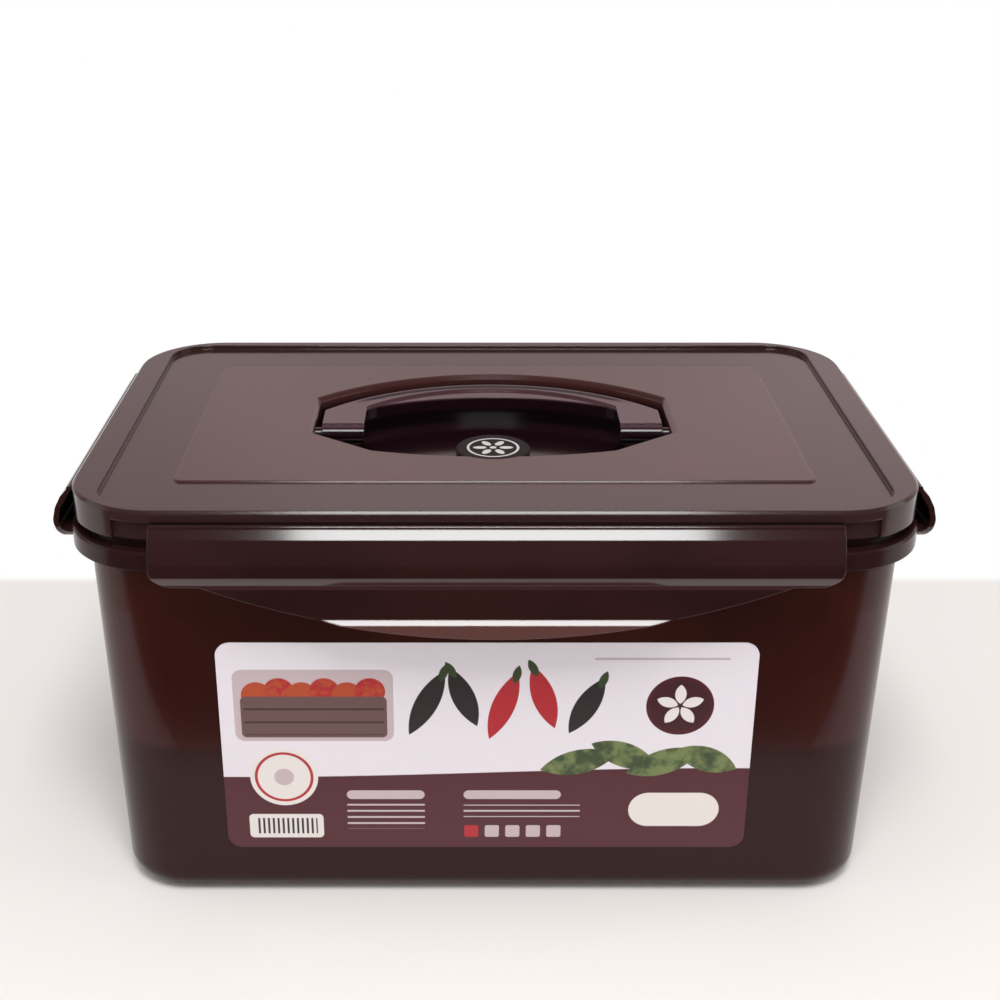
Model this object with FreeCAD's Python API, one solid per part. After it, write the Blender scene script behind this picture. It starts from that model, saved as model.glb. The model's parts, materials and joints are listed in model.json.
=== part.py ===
"""Pressing kimchi container: tub, lid with four snap flaps, carry handle and inner press plate.

Millimetres, +Z up. The origin is the centre of the foot that the tub stands on, +X runs along
the long side and -Y is the front. A place beside the lid's edge is given as (out, z), where out
is the distance outside the lid's outline, so a negative value lies inside it.
"""
import FreeCAD, Part
import math
import os
from FreeCAD import Vector

os.makedirs("parts", exist_ok=True)

# Lid outline and overall height
LID_WIDTH = 250.0
LID_DEPTH = 161.2
LID_CORNER = 27.5
HEIGHT = 135.0

# Tub
RIM_INSET = 3.6  # outer wall at the rim, inside the lid's outline
RIM_DROP = 5.9  # rim below the lid's top
WALL = 2.2
FLOOR = 2.6
DRAFT = math.tan(math.radians(1.7))
BASE_FILLET = 7.5
INNER_BEVEL = 3.5
FOOT_WIDTH = 11.0
FOOT_HEIGHT = 1.2
FLOOR_JOIN = 20.0  # where the wall's section hands over to the plain floor, inside the lid's outline
FLANGE_DROP = 6.5  # flange shelf below the rim
FLANGE_HEIGHT = 5.7
FLANGE_OUT = 1.0
FLANGE_SKIN = 1.9
FLANGE_CHAMFER = 0.6
CATCH_OUT = 1.7
CATCH_HEIGHT = 1.8
CATCH_SLOPE = 0.6

# Lid
PANEL_DEPTH = 1.5
PANEL_SIDE = 9.2
PANEL_FRONT = 4.6
PANEL_CORNER = 13.0
PLATE = 2.0
PLATFORM_RISE = 0.6
PLATFORM_WIDTH = 191.0
PLATFORM_DEPTH = 110.8
PLATFORM_CORNER = 2.5
PLATFORM_BEVEL = 0.45
EDGE_BEVEL = 0.8
SKIRT_DROP = 9.2
SKIRT = 1.6
SKIRT_SETBACK = 1.2
FRONT_ZONE = 109.4  # half length of the set-back skirt at front and back
SIDE_ZONE = 56.0
PLUG_GAP = 0.6
PLUG_WALL = 1.8
PLUG_DROP = 10.4
GASKET_GAP = 0.3
GASKET_OVERHANG = 0.5
GASKET_BEVEL = 0.6

# Flaps and their hinges
HINGE_OUT = 1.9
HINGE_DROP = 4.1
BEAD = 0.75
BEAD_FIT = 0.08
WEB = 0.6
FLAP_FRONT = 98.0
FLAP_SIDE = 53.6
FLAP_WALL = 1.7
FLAP_NECK = 0.6  # half the thickness where the flap leaves its bead
FLAP_END_DROP = 21.2  # lower edge of the bulge at its ends
FLAP_CORNER = 6.0
TONGUE_INSET = 13.5  # the tongue starts this far from the bulge's ends
CATCH_GAP = 0.3
CATCH_INSET = 6.0

# Flap section: each place's distance outside the lid's outline and its drop below the lid's top
BROW_OUT = 4.8
BROW_DROP = 6.7
BROW_BEND = 0.8
CHEEK_OUT = 6.6
CHEEK_DROP = 10.2
BULGE_OUT = 7.6
BULGE_DROP = 14.4
BULGE_BEND = 5.0
CURL_OUT = 6.9
CURL_DROP = 17.7
CURL_BEND = 4.0
TONGUE_OUT = 5.3
TONGUE_DROP = 20.5
FLARE_ROOT_OUT = 5.8
FLARE_ROOT_DROP = 30.9
FLARE_OUT = 7.3
FLARE_DROP = 32.3
LIP_OUT = 7.7
LIP_DROP = 36.5
CREASE = 0.5
SNAP_TOE = 3.6
SNAP_NOSE = 1.0

# Handle recess in the lid
RECESS_HALF = 57.8
RECESS_END_FRONT = -13.0
RECESS_END_BACK = 19.0
RECESS_BACK = 43.6
RECESS_FRONT = -34.4
RECESS_SHOULDER = 37.5  # half width where the front turns towards the ends
RECESS_SHOULDER_Y = -29.0
RECESS_DEPTH = 10.5
RECESS_DRAFT = 2.2
RECESS_EDGE = 1.2  # bevel round the recess's opening
RECESS_WALL = 1.8
BOSS_RADIUS = 11.7
BOSS_Y = -22.6
BOSS_DROP = 1.3
BOSS_BEVEL = 0.4
BOSS_NOTCH = 1.5
BOSS_NOTCH_SHIFT = -1.8

# Carry handle
PIVOT_Y = -4.5
PIVOT_DROP = 4.9
PIVOT_RADIUS = 2.1
PIVOT_FIT = 0.06
PIVOT_DEPTH = 2.4
PIVOT_PLAY = 0.3  # between a pin's end and its socket
BARREL = 3.0
HANDLE_SIDE_GAP = 0.9
HANDLE_DRAFT_SHARE = 0.75  # share of the recess's draft that the handle's lower edge has to clear
HANDLE_TOP_DROP = 1.2
HANDLE_THICK = 4.8
HANDLE_STEP = 0.8
HANDLE_OUTER_Y = 35.0
HANDLE_OUTER_END_Y = 9.0
HANDLE_INNER_Y = 23.3
HANDLE_INNER_END_Y = 12.5
HANDLE_RIB = 5.4
HANDLE_RIB_END = 2.0  # the raised band's inner edge starts this much behind the bar's outer end
HANDLE_BEVEL = 0.7
HANDLE_BEND = 5.0
ARM_WIDTH = 13.6
SOCKET_WALL = 1.6

# Front label
LABEL_WIDTH = 161.0
LABEL_X = -2.3
LABEL_TOP = 91.2
LABEL_BOTTOM = 17.8
LABEL_CORNER = 4.6
LABEL_THICK = 0.25

# Press plate
PRESS_Z = 42.0  # lowest place of the plate's underside, where the seal meets the walls
PRESS_GAP = 0.35
PRESS_PLATE = 2.0
PRESS_RIM = 11.0
PRESS_RIM_WALL = 2.0
PRESS_INSET = 3.0
SEAL_Z = 3.0
SEAL_HEIGHT = 4.0
SEAL_GROOVE = 1.0
SEAL_LIP = 1.2
SEAL_TIP = 0.8
RIB_WIDTH = 1.6
RIB_HEIGHT = 4.0
RIB_X = 62.0
RIB_Y = 46.0
GRIP_WIDTH = 84.0
GRIP_REACH = 30.0
GRIP_BAR = 6.0
GRIP_PALM = 2.0  # the bar across is this much wider than the arms
GRIP_LIFT = 1.0  # grip clear of the plate's floor
GRIP_Y = -15.0
GRIP_PIN = 1.8
GRIP_PIN_LENGTH = 3.0
GRIP_FIT = 0.06
GRIP_BEND = 10.0
LUG_WALL = 3.2
LUG_RADIUS = 4.5
LUG_GAP = 0.5
VENT_X = 78.0
VENT_Y = 30.0
VENT_BORE = 7.0
VENT_FIT = 0.08
VENT_COLLAR = 3.0
VENT_WALL = 2.2
VENT_CAP = 11.0
VENT_CAP_HEIGHT = 2.2
VENT_BEVEL = 0.7
VENT_TIP = 1.5  # stem below the plate
VENT_TAB = 2.2
VENT_TAB_LENGTH = 8.0
VENT_TAB_HEIGHT = 3.8

HALF_W = LID_WIDTH / 2
HALF_D = LID_DEPTH / 2
RIM_Z = HEIGHT - RIM_DROP
SHELF_Z = RIM_Z - FLANGE_DROP
FLANGE_Z = SHELF_Z - FLANGE_HEIGHT
PANEL_Z = HEIGHT - PANEL_DEPTH
CEILING_Z = PANEL_Z - PLATE
HINGE_Z = HEIGHT - HINGE_DROP
PIVOT_Z = HEIGHT - PIVOT_DROP
RECESS_Z = PANEL_Z - RECESS_DEPTH
BOSS_Z = PANEL_Z - BOSS_DROP
FAR = 400.0
Y_AXIS = Vector(0, 1, 0)
Z_AXIS = Vector(0, 0, 1)


def rounded_path(points, place):
    """Closed wire through (u, v, radius) points, with a tangent arc at each rounded one."""
    corners = [(Vector(u, v, 0), r) for u, v, r in points]
    edges, ends = [], []
    count = len(corners)
    for i, (corner, radius) in enumerate(corners):
        back = corners[i - 1][0] - corner
        ahead = corners[(i + 1) % count][0] - corner
        back.normalize()
        ahead.normalize()
        if radius <= 0:
            ends.append((corner, None, corner))
            continue
        half = back.getAngle(ahead) / 2
        reach = radius / math.tan(half)
        bisector = back + ahead
        bisector.normalize()
        centre = corner + bisector * (radius / math.sin(half))
        ends.append((corner + back * reach, centre - bisector * radius, corner + ahead * reach))
    for i, (start, middle, end) in enumerate(ends):
        if middle is not None:
            edges.append(Part.Arc(*(place(p.x, p.y) for p in (start, middle, end))).toShape())
        following = ends[(i + 1) % count][0]
        if end.distanceToPoint(following) > 1e-6:
            edges.append(Part.LineSegment(place(end.x, end.y), place(following.x, following.y)).toShape())
    return Part.Wire(edges)


def face(wire):
    """Plane face inside a closed wire."""
    return Part.Face(wire)


def oblong(half_w, half_d, radius, z):
    """Closed rounded rectangle about the Z axis at height z."""
    points = [(half_w, -half_d, radius), (half_w, half_d, radius),
              (-half_w, half_d, radius), (-half_w, -half_d, radius)]
    return rounded_path(points, lambda u, v: Vector(u, v, z))


def slab(half_w, half_d, radius, z0, z1):
    """Upright rounded block from z0 to z1."""
    return face(oblong(half_w, half_d, radius, z0)).extrude(Vector(0, 0, z1 - z0))


def box(x0, x1, y0, y1, z0, z1):
    """Box between two corners."""
    return Part.makeBox(x1 - x0, y1 - y0, z1 - z0, Vector(x0, y0, z0))


def cylinder(radius, start, end):
    """Round bar from one point to another."""
    run = end - start
    return Part.makeCylinder(radius, run.Length, start, run)


def edges_where(shape, test):
    """Edges of a shape whose every vertex passes a test."""
    return [e for e in shape.Edges if all(test(v.Point) for v in e.Vertexes)]


def ring(points):
    """Section of (out, z, radius) points carried once round the lid's outline."""
    straight_x = HALF_W - LID_CORNER
    straight_y = HALF_D - LID_CORNER
    pieces = []
    for turn in range(4):
        long_side = turn % 2 == 0
        half, edge = (straight_x, HALF_D) if long_side else (straight_y, HALF_W)
        run = rounded_path(points, lambda out, z: Vector(-half, -edge - out, z))
        side = face(run).extrude(Vector(2 * half, 0, 0))
        bend_face = face(rounded_path(points, lambda out, z: Vector(half, -edge - out, z)))
        bend = bend_face.revolve(Vector(half, -edge + LID_CORNER, 0), Z_AXIS, 90)
        for piece in (side, bend):
            piece.rotate(Vector(0, 0, 0), Z_AXIS, 90 * turn)
            pieces.append(piece)
    return pieces[0].fuse(pieces[1:]).removeSplitter()


def band(inner, outer, z0, z1):
    """Plain rectangular ring between two distances from the lid's outline."""
    return ring([(inner, z0, 0), (outer, z0, 0), (outer, z1, 0), (inner, z1, 0)])


def to_side(shape, side):
    """Move a piece modelled at the front edge (y = -out, x along it) to one of the four sides."""
    turn, edge = {"front": (0, HALF_D), "right": (90, HALF_W),
                  "back": (180, HALF_D), "left": (270, HALF_W)}[side]
    moved = shape.copy()
    moved.translate(Vector(0, -edge, 0))
    moved.rotate(Vector(0, 0, 0), Z_AXIS, turn)
    return moved


def along_side(points, half_length):
    """Bar of an (out, z, radius) section, modelled at the front edge and centred on x = 0."""
    start = rounded_path(points, lambda out, z: Vector(-half_length, -out, z))
    return face(start).extrude(Vector(2 * half_length, 0, 0))


def wall_inset(z):
    """How far the tub's outer wall lies inside the lid's outline at height z."""
    return RIM_INSET + (RIM_Z - z) * DRAFT


def wall_section():
    """Section of the tub's wall, foot ring and the floor's edge, from the foot up and back down inside."""
    foot_inside = -wall_inset(0) - FOOT_WIDTH
    return [
        (foot_inside, 0, 0), (-wall_inset(0), 0, BASE_FILLET), (-RIM_INSET, RIM_Z, 0),
        (-RIM_INSET - WALL, RIM_Z, 0), (-wall_inset(FLOOR) - WALL, FLOOR + INNER_BEVEL, 0),
        (-wall_inset(FLOOR) - WALL - INNER_BEVEL, FLOOR, 0),
        (-FLOOR_JOIN, FLOOR, 0), (-FLOOR_JOIN, FOOT_HEIGHT, 0), (foot_inside, FOOT_HEIGHT, 0),
    ]


def flange_section():
    """Section of the tub's flange: shelf and hanging skin."""
    root = -RIM_INSET - WALL / 2
    skin = FLANGE_OUT - FLANGE_SKIN
    return [
        (root, SHELF_Z - FLANGE_SKIN, 0), (skin, SHELF_Z - FLANGE_SKIN, 0), (skin, FLANGE_Z, 0),
        (FLANGE_OUT, FLANGE_Z, 0), (FLANGE_OUT, SHELF_Z - FLANGE_CHAMFER, 0),
        (FLANGE_OUT - FLANGE_CHAMFER, SHELF_Z, 0), (root, SHELF_Z, 0),
    ]


def catch_section():
    """Section of a catch at the flange's lower edge, sloped on top so that the flap's rib slides over it."""
    root = FLANGE_OUT - FLANGE_SKIN / 2
    top = FLANGE_Z + CATCH_HEIGHT
    return [(root, FLANGE_Z, 0), (CATCH_OUT, FLANGE_Z, 0), (CATCH_OUT, top - CATCH_SLOPE, 0),
            (FLANGE_OUT, top, 0), (root, top, 0)]


def make_tub():
    """Tub with drafted walls, a foot ring, a flange and a catch under each flap."""
    wall = ring(wall_section())
    floor_gap = FLOOR_JOIN - 1
    floor = slab(HALF_W - floor_gap, HALF_D - floor_gap, LID_CORNER - floor_gap, FOOT_HEIGHT, FLOOR)
    catches = [to_side(along_side(catch_section(), half - CATCH_INSET), side)
               for side, half in flap_lengths().items()]
    return wall.fuse([floor, ring(flange_section())] + catches).removeSplitter()


def make_label():
    """Printed film on the front wall, lying on the wall's draft."""
    def on_wall(u, v):
        return Vector(LABEL_X + u, -HALF_D + wall_inset(v), v)

    half = LABEL_WIDTH / 2
    outline = rounded_path([(half, LABEL_BOTTOM, LABEL_CORNER), (half, LABEL_TOP, LABEL_CORNER),
                            (-half, LABEL_TOP, LABEL_CORNER), (-half, LABEL_BOTTOM, LABEL_CORNER)], on_wall)
    return face(outline).extrude(Vector(0, -LABEL_THICK, 0))


def flap_lengths():
    """Half length of the flap on each side."""
    return {"front": FLAP_FRONT, "back": FLAP_FRONT, "left": FLAP_SIDE, "right": FLAP_SIDE}


def recess_outline(grow, z):
    """Opening of the handle recess: straight ends, an arched back and a flatter front."""
    def p(x, y):
        return Vector(x, y, z)

    end = RECESS_HALF + grow
    back, front = RECESS_END_BACK + grow / 2, RECESS_END_FRONT - grow / 2
    shoulder_x, shoulder_y = RECESS_SHOULDER + grow / 2, RECESS_SHOULDER_Y - grow
    edges = [
        Part.LineSegment(p(end, front), p(end, back)).toShape(),
        Part.Arc(p(end, back), p(0, RECESS_BACK + grow), p(-end, back)).toShape(),
        Part.LineSegment(p(-end, back), p(-end, front)).toShape(),
        Part.LineSegment(p(-end, front), p(-shoulder_x, shoulder_y)).toShape(),
        Part.Arc(p(-shoulder_x, shoulder_y), p(0, RECESS_FRONT - grow), p(shoulder_x, shoulder_y)).toShape(),
        Part.LineSegment(p(shoulder_x, shoulder_y), p(end, front)).toShape(),
    ]
    return Part.Wire(edges)


def recess_block(grow, z0, z1):
    """Drafted plug of the recess's shape, from z0 up to z1."""
    def narrow(z):
        return grow - RECESS_DRAFT * (PANEL_Z - z) / RECESS_DEPTH

    return Part.makeLoft([recess_outline(narrow(z0), z0), recess_outline(narrow(z1), z1)], True, True)


def boss_parts():
    """Round badge boss in the recess: its outer wall, its bore from below and its notch in the rim."""
    base = Vector(0, BOSS_Y, RECESS_Z - RECESS_WALL)
    boss = cylinder(BOSS_RADIUS, base, Vector(0, BOSS_Y, BOSS_Z))
    boss = boss.makeChamfer(BOSS_BEVEL, edges_where(boss, lambda p: p.z > BOSS_Z - 1e-3))
    bore = cylinder(BOSS_RADIUS - RECESS_WALL, base - Z_AXIS, Vector(0, BOSS_Y, BOSS_Z - RECESS_WALL))
    notch_y = BOSS_Y + BOSS_NOTCH_SHIFT
    notch = cylinder(BOSS_RADIUS + BOSS_NOTCH, Vector(0, notch_y, RECESS_Z), Vector(0, notch_y, HEIGHT))
    skin = cylinder(BOSS_RADIUS + BOSS_NOTCH + RECESS_WALL, Vector(0, notch_y, RECESS_Z - RECESS_WALL),
                    Vector(0, notch_y, CEILING_Z + PLATE / 2))
    return boss, bore, notch, skin


def flap_zones(grow):
    """Space of the four flap zones, each longer than its flap."""
    front, side = FRONT_ZONE + grow, SIDE_ZONE + grow
    return box(-front, front, -FAR, FAR, 0, FAR).fuse(box(-FAR, FAR, -side, side, 0, FAR))


def lid_skirt():
    """Edge wall of the lid: full at the corners, set back behind each flap."""
    low, high = HEIGHT - SKIRT_DROP, CEILING_Z + PLATE / 2
    corners = band(-SKIRT, 0, low, high).cut(flap_zones(0))
    behind = band(-SKIRT_SETBACK - SKIRT, -SKIRT_SETBACK, low, high).common(flap_zones(SKIRT))
    return corners.fuse(behind)


def hinge_strip(half_length):
    """Thin web that the flap hangs on, ending in a hollow round the flap's bead."""
    top = HINGE_Z + WEB / 4
    strip = along_side([
        (-SKIRT_SETBACK - SKIRT / 2, top - WEB, 0), (HINGE_OUT, top - WEB, 0),
        (HINGE_OUT, top, 0), (-SKIRT_SETBACK - SKIRT / 2, top, 0),
    ], half_length)
    groove = cylinder(BEAD + BEAD_FIT, Vector(-FAR, -HINGE_OUT, HINGE_Z), Vector(FAR, -HINGE_OUT, HINGE_Z))
    return strip.cut(groove)


def make_lid():
    """Lid: bordered top, platform, handle recess, sockets, gasket channel and hinge webs."""
    top = slab(HALF_W, HALF_D, LID_CORNER, CEILING_Z, HEIGHT)
    top = top.makeChamfer(EDGE_BEVEL, edges_where(top, lambda p: p.z > HEIGHT - 1e-3))
    pocket = slab(HALF_W - PANEL_SIDE, HALF_D - PANEL_FRONT, PANEL_CORNER, PANEL_Z, HEIGHT + 1)
    platform = slab(PLATFORM_WIDTH / 2, PLATFORM_DEPTH / 2, PLATFORM_CORNER, CEILING_Z + PLATE / 2,
                    PANEL_Z + PLATFORM_RISE)
    platform = platform.makeChamfer(PLATFORM_BEVEL, edges_where(platform, lambda p: p.z > PANEL_Z))
    boss, bore, notch, skin = boss_parts()
    plug_out = -RIM_INSET - WALL - PLUG_GAP
    plug = band(plug_out - PLUG_WALL, plug_out, HEIGHT - PLUG_DROP, CEILING_Z + PLATE / 2)
    bowl = recess_block(RECESS_WALL, RECESS_Z - RECESS_WALL, CEILING_Z + PLATE / 2)
    cavity = recess_block(0, RECESS_Z, HEIGHT + 1)
    opening_z = PANEL_Z + PLATFORM_RISE
    bevel = Part.makeLoft([recess_outline(-RECESS_EDGE, opening_z - 2 * RECESS_EDGE),
                           recess_outline(RECESS_EDGE, opening_z)], True, True)
    sockets, holes = [], []
    for hand in (-1, 1):
        socket_end = RECESS_HALF + PIVOT_DEPTH + SOCKET_WALL
        near = Vector(hand * (RECESS_HALF - RECESS_DRAFT), PIVOT_Y, PIVOT_Z)
        far = Vector(hand * socket_end, PIVOT_Y, PIVOT_Z)
        width = PIVOT_RADIUS + SOCKET_WALL
        x0, x1 = sorted((near.x, far.x))
        sockets.append(cylinder(width, near, far).fuse(
            box(x0, x1, PIVOT_Y - width, PIVOT_Y + width, PIVOT_Z, CEILING_Z + PLATE / 2)))
        bottom = Vector(hand * (RECESS_HALF + PIVOT_DEPTH), PIVOT_Y, PIVOT_Z)
        holes.append(cylinder(PIVOT_RADIUS + PIVOT_FIT, near, bottom))
    webs = [to_side(hinge_strip(half), side) for side, half in flap_lengths().items()]
    body = top.fuse([platform, lid_skirt(), plug, bowl, skin] + sockets + webs)
    body = body.cut([pocket.cut(platform), cavity, bevel, notch]).cut(holes)
    return body.fuse(boss).cut(bore).removeSplitter()


def make_gasket():
    """Seal ring in the lid's channel, above the tub's rim."""
    low = RIM_Z + GASKET_GAP
    outer = -RIM_INSET + GASKET_OVERHANG
    inner = -RIM_INSET - WALL - GASKET_OVERHANG
    return ring([(inner + GASKET_BEVEL, low, 0), (outer - GASKET_BEVEL, low, 0),
                 (outer, CEILING_Z, 0), (inner, CEILING_Z, 0)])


def flap_section():
    """Flap's (out, z, radius) section: brow, curling bulge, tongue, flared lip and inner snap rib."""
    neck = FLAP_NECK * math.sqrt(0.5)
    snap_drop = HEIGHT - FLANGE_Z + CATCH_GAP
    snap_out = CATCH_OUT + CATCH_GAP
    outer = [
        (HINGE_OUT + FLAP_NECK, HINGE_DROP, 0), (BROW_OUT, BROW_DROP, BROW_BEND),
        (CHEEK_OUT, CHEEK_DROP, BULGE_BEND),
        (BULGE_OUT, BULGE_DROP, BULGE_BEND), (CURL_OUT, CURL_DROP, CURL_BEND), (TONGUE_OUT, TONGUE_DROP, CREASE),
        (FLARE_ROOT_OUT, FLARE_ROOT_DROP, CREASE), (FLARE_OUT, FLARE_DROP, CREASE), (LIP_OUT, LIP_DROP, 0),
    ]
    inner = [
        (LIP_OUT - FLAP_WALL, LIP_DROP, 0), (FLARE_OUT - FLAP_WALL, FLARE_DROP, 0),
        (FLARE_ROOT_OUT - FLAP_WALL, FLARE_ROOT_DROP, 0), (TONGUE_OUT - FLAP_WALL, snap_drop + SNAP_TOE, 0),
        (snap_out, snap_drop + SNAP_NOSE, 0), (snap_out, snap_drop, 0),
        (TONGUE_OUT - FLAP_WALL, snap_drop, 0), (CURL_OUT - FLAP_WALL, CURL_DROP - CREASE, 0),
        (BULGE_OUT - FLAP_WALL, BULGE_DROP, 0), (CHEEK_OUT - FLAP_WALL, CHEEK_DROP, 0),
        (BROW_OUT - FLAP_WALL, BROW_DROP + FLAP_WALL / 2, 0), (HINGE_OUT - neck, HINGE_DROP + neck, 0),
    ]
    return [(out, HEIGHT - drop, radius) for out, drop, radius in outer + inner]


def upright_corners(block, low):
    """Edges across a front-facing block at its two lower corners, at height low."""
    edges = edges_where(block, lambda p: abs(p.z - low) < 1e-3)
    return [e for e in edges if abs(e.tangentAt(e.FirstParameter).y) > 0.9]


def flap_silhouette(half_length):
    """Front-facing block in the flap's outline: rounded bulge and the tongue's arc below it."""
    reach = 2 * BULGE_OUT
    end_z, tip_z = HEIGHT - FLAP_END_DROP, HEIGHT - LIP_DROP
    bulge = box(-half_length, half_length, -reach, reach, end_z, HEIGHT)
    bulge = bulge.makeFillet(FLAP_CORNER, upright_corners(bulge, end_z))
    chord, rise = half_length - TONGUE_INSET, end_z - tip_z
    arc = (chord**2 + rise**2) / (2 * rise)
    centre = Vector(0, 0, tip_z + arc)
    tongue = cylinder(arc, centre - Y_AXIS * reach, centre + Y_AXIS * reach)
    tongue = tongue.common(box(-chord, chord, -reach, reach, tip_z, end_z + FLAP_CORNER))
    return bulge.fuse(tongue)


def make_flap(side, half_length):
    """Snap flap: one section, cut to its outline, with the bead that it turns on."""
    body = along_side(flap_section(), half_length).common(flap_silhouette(half_length))
    bead = cylinder(BEAD, Vector(-half_length, -HINGE_OUT, HINGE_Z), Vector(half_length, -HINGE_OUT, HINGE_Z))
    return to_side(body.fuse(bead).removeSplitter(), side)


def handle_outline(inset_outer, inner_y, inner_end_y, z):
    """Plan of the carry handle between its arms' front ends and its arched bar."""
    def p(x, y):
        return Vector(x, y, z)

    half = RECESS_HALF - HANDLE_SIDE_GAP - RECESS_DRAFT * HANDLE_DRAFT_SHARE - inset_outer
    inside = half + inset_outer - ARM_WIDTH
    outer_y, outer_end = HANDLE_OUTER_Y - inset_outer, HANDLE_OUTER_END_Y - inset_outer
    front = PIVOT_Y
    edges = [
        Part.LineSegment(p(half, front), p(half, outer_end)).toShape(),
        Part.Arc(p(half, outer_end), p(0, outer_y), p(-half, outer_end)).toShape(),
        Part.LineSegment(p(-half, outer_end), p(-half, front)).toShape(),
        Part.LineSegment(p(-half, front), p(-inside, front)).toShape(),
        Part.LineSegment(p(-inside, front), p(-inside, inner_end_y)).toShape(),
        Part.Arc(p(-inside, inner_end_y), p(0, inner_y), p(inside, inner_end_y)).toShape(),
        Part.LineSegment(p(inside, inner_end_y), p(inside, front)).toShape(),
        Part.LineSegment(p(inside, front), p(half, front)).toShape(),
    ]
    return Part.Wire(edges), half, inside


def make_handle():
    """Bail handle: stepped arched bar, two arms, round feet and a pivot pin at each end."""
    top = HEIGHT - HANDLE_TOP_DROP
    low = top - HANDLE_THICK
    wire, half, inside = handle_outline(0, HANDLE_INNER_Y, HANDLE_INNER_END_Y, low)
    bar = face(wire).extrude(Vector(0, 0, HANDLE_THICK - HANDLE_STEP))
    corners = edges_where(bar, lambda p: abs(abs(p.x) - inside) < 1e-3 and p.y > HANDLE_INNER_END_Y - 1e-3)
    uprights = [e for e in corners if abs(e.tangentAt(e.FirstParameter).z) > 0.9]
    bar = bar.makeFillet(HANDLE_BEND, uprights)
    lip_wire, _, _ = handle_outline(0, HANDLE_OUTER_Y - HANDLE_RIB, HANDLE_OUTER_END_Y + HANDLE_RIB_END, low)
    lip = face(lip_wire).extrude(Vector(0, 0, HANDLE_THICK))
    body = bar.fuse(lip).removeSplitter()
    rounded = edges_where(body, lambda p: p.z > top - 1e-3 and p.y > PIVOT_Y + 1)
    body = body.makeChamfer(HANDLE_BEVEL, rounded)
    pieces = []
    for hand in (-1, 1):
        inner_end = Vector(hand * inside, PIVOT_Y, PIVOT_Z)
        outer_end = Vector(hand * half, PIVOT_Y, PIVOT_Z)
        pin_end = Vector(hand * (RECESS_HALF + PIVOT_DEPTH - PIVOT_PLAY), PIVOT_Y, PIVOT_Z)
        pieces.append(cylinder(BARREL, inner_end, outer_end))
        pieces.append(cylinder(PIVOT_RADIUS, inner_end, pin_end))
    return body.fuse(pieces).removeSplitter()


def press_edge():
    """How far the press plate's groove lies outside the lid's outline (negative: inside it)."""
    return press_reach() - PRESS_INSET


def press_reach():
    """Where the seal's lip ends, just clear of the tub's walls at the plate's lowest height."""
    return -wall_inset(PRESS_Z) - WALL - PRESS_GAP


def press_rim_section():
    """Section of the press plate's upright rim, with the groove that holds its seal."""
    groove, edge = press_edge(), press_edge() + SEAL_GROOVE
    seat_low, seat_high = PRESS_Z + SEAL_Z, PRESS_Z + SEAL_Z + SEAL_HEIGHT
    top, floor_z = PRESS_Z + PRESS_RIM, PRESS_Z + PRESS_PLATE
    return [
        (-FLOOR_JOIN, PRESS_Z, 0), (edge, PRESS_Z, 0), (edge, seat_low, 0), (groove, seat_low, 0),
        (groove, seat_high, 0), (edge, seat_high, 0), (edge, top, 0), (groove - PRESS_RIM_WALL, top, 0),
        (groove - PRESS_RIM_WALL, floor_z, 0), (-FLOOR_JOIN, floor_z, 0),
    ]


def make_press_plate():
    """Press plate: tray with an upright rim, a seal groove, stiffening ribs, grip lugs and a vent collar."""
    floor_z = PRESS_Z + PRESS_PLATE
    floor_gap = FLOOR_JOIN - 1
    tray = ring(press_rim_section())
    floor = slab(HALF_W - floor_gap, HALF_D - floor_gap, LID_CORNER - floor_gap, PRESS_Z, floor_z)
    reach_x = HALF_W + press_edge() - PRESS_RIM_WALL / 2
    reach_y = HALF_D + press_edge() - PRESS_RIM_WALL / 2
    half_rib = RIB_WIDTH / 2
    ribs = [box(x - half_rib, x + half_rib, -reach_y, reach_y, floor_z - 1, floor_z + RIB_HEIGHT)
            for x in (-RIB_X, RIB_X)]
    ribs += [box(-reach_x, reach_x, y - half_rib, y + half_rib, floor_z - 1, floor_z + RIB_HEIGHT)
             for y in (-RIB_Y, RIB_Y)]
    pin_z = grip_axis_z()
    lugs, bores = [], []
    for hand in (-1, 1):
        x0, x1 = sorted((hand * (GRIP_WIDTH / 2 + LUG_GAP), hand * (GRIP_WIDTH / 2 + LUG_GAP + LUG_WALL)))
        lug = box(x0, x1, GRIP_Y - LUG_RADIUS, GRIP_Y + LUG_RADIUS, floor_z - 1, pin_z)
        lugs.append(lug.fuse(cylinder(LUG_RADIUS, Vector(x0, GRIP_Y, pin_z), Vector(x1, GRIP_Y, pin_z))))
        bores.append(cylinder(GRIP_PIN + GRIP_FIT, Vector(x0, GRIP_Y, pin_z), Vector(x1, GRIP_Y, pin_z)))
    vent = Vector(VENT_X, VENT_Y, 0)
    collar = Part.makeCylinder(VENT_BORE / 2 + VENT_WALL, PRESS_PLATE + VENT_COLLAR, vent + Z_AXIS * PRESS_Z)
    vent_hole = Part.makeCylinder(VENT_BORE / 2, FAR, vent)
    return tray.fuse([floor, collar] + ribs + lugs).cut(bores + [vent_hole]).removeSplitter()


def grip_axis_z():
    """Height of the folding grip's pivot."""
    return PRESS_Z + PRESS_PLATE + GRIP_LIFT + GRIP_BAR / 2


def make_press_seal():
    """Soft lip ring seated in the groove of the press plate's rim."""
    low, high = PRESS_Z + SEAL_Z, PRESS_Z + SEAL_Z + SEAL_HEIGHT
    middle = (low + high) / 2
    foot = press_edge() + SEAL_LIP
    return ring([
        (press_edge(), low, 0), (foot, low, 0), (press_reach(), middle - SEAL_TIP / 2, 0),
        (press_reach(), middle + SEAL_TIP / 2, 0), (foot, high, 0), (press_edge(), high, 0),
    ])


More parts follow.
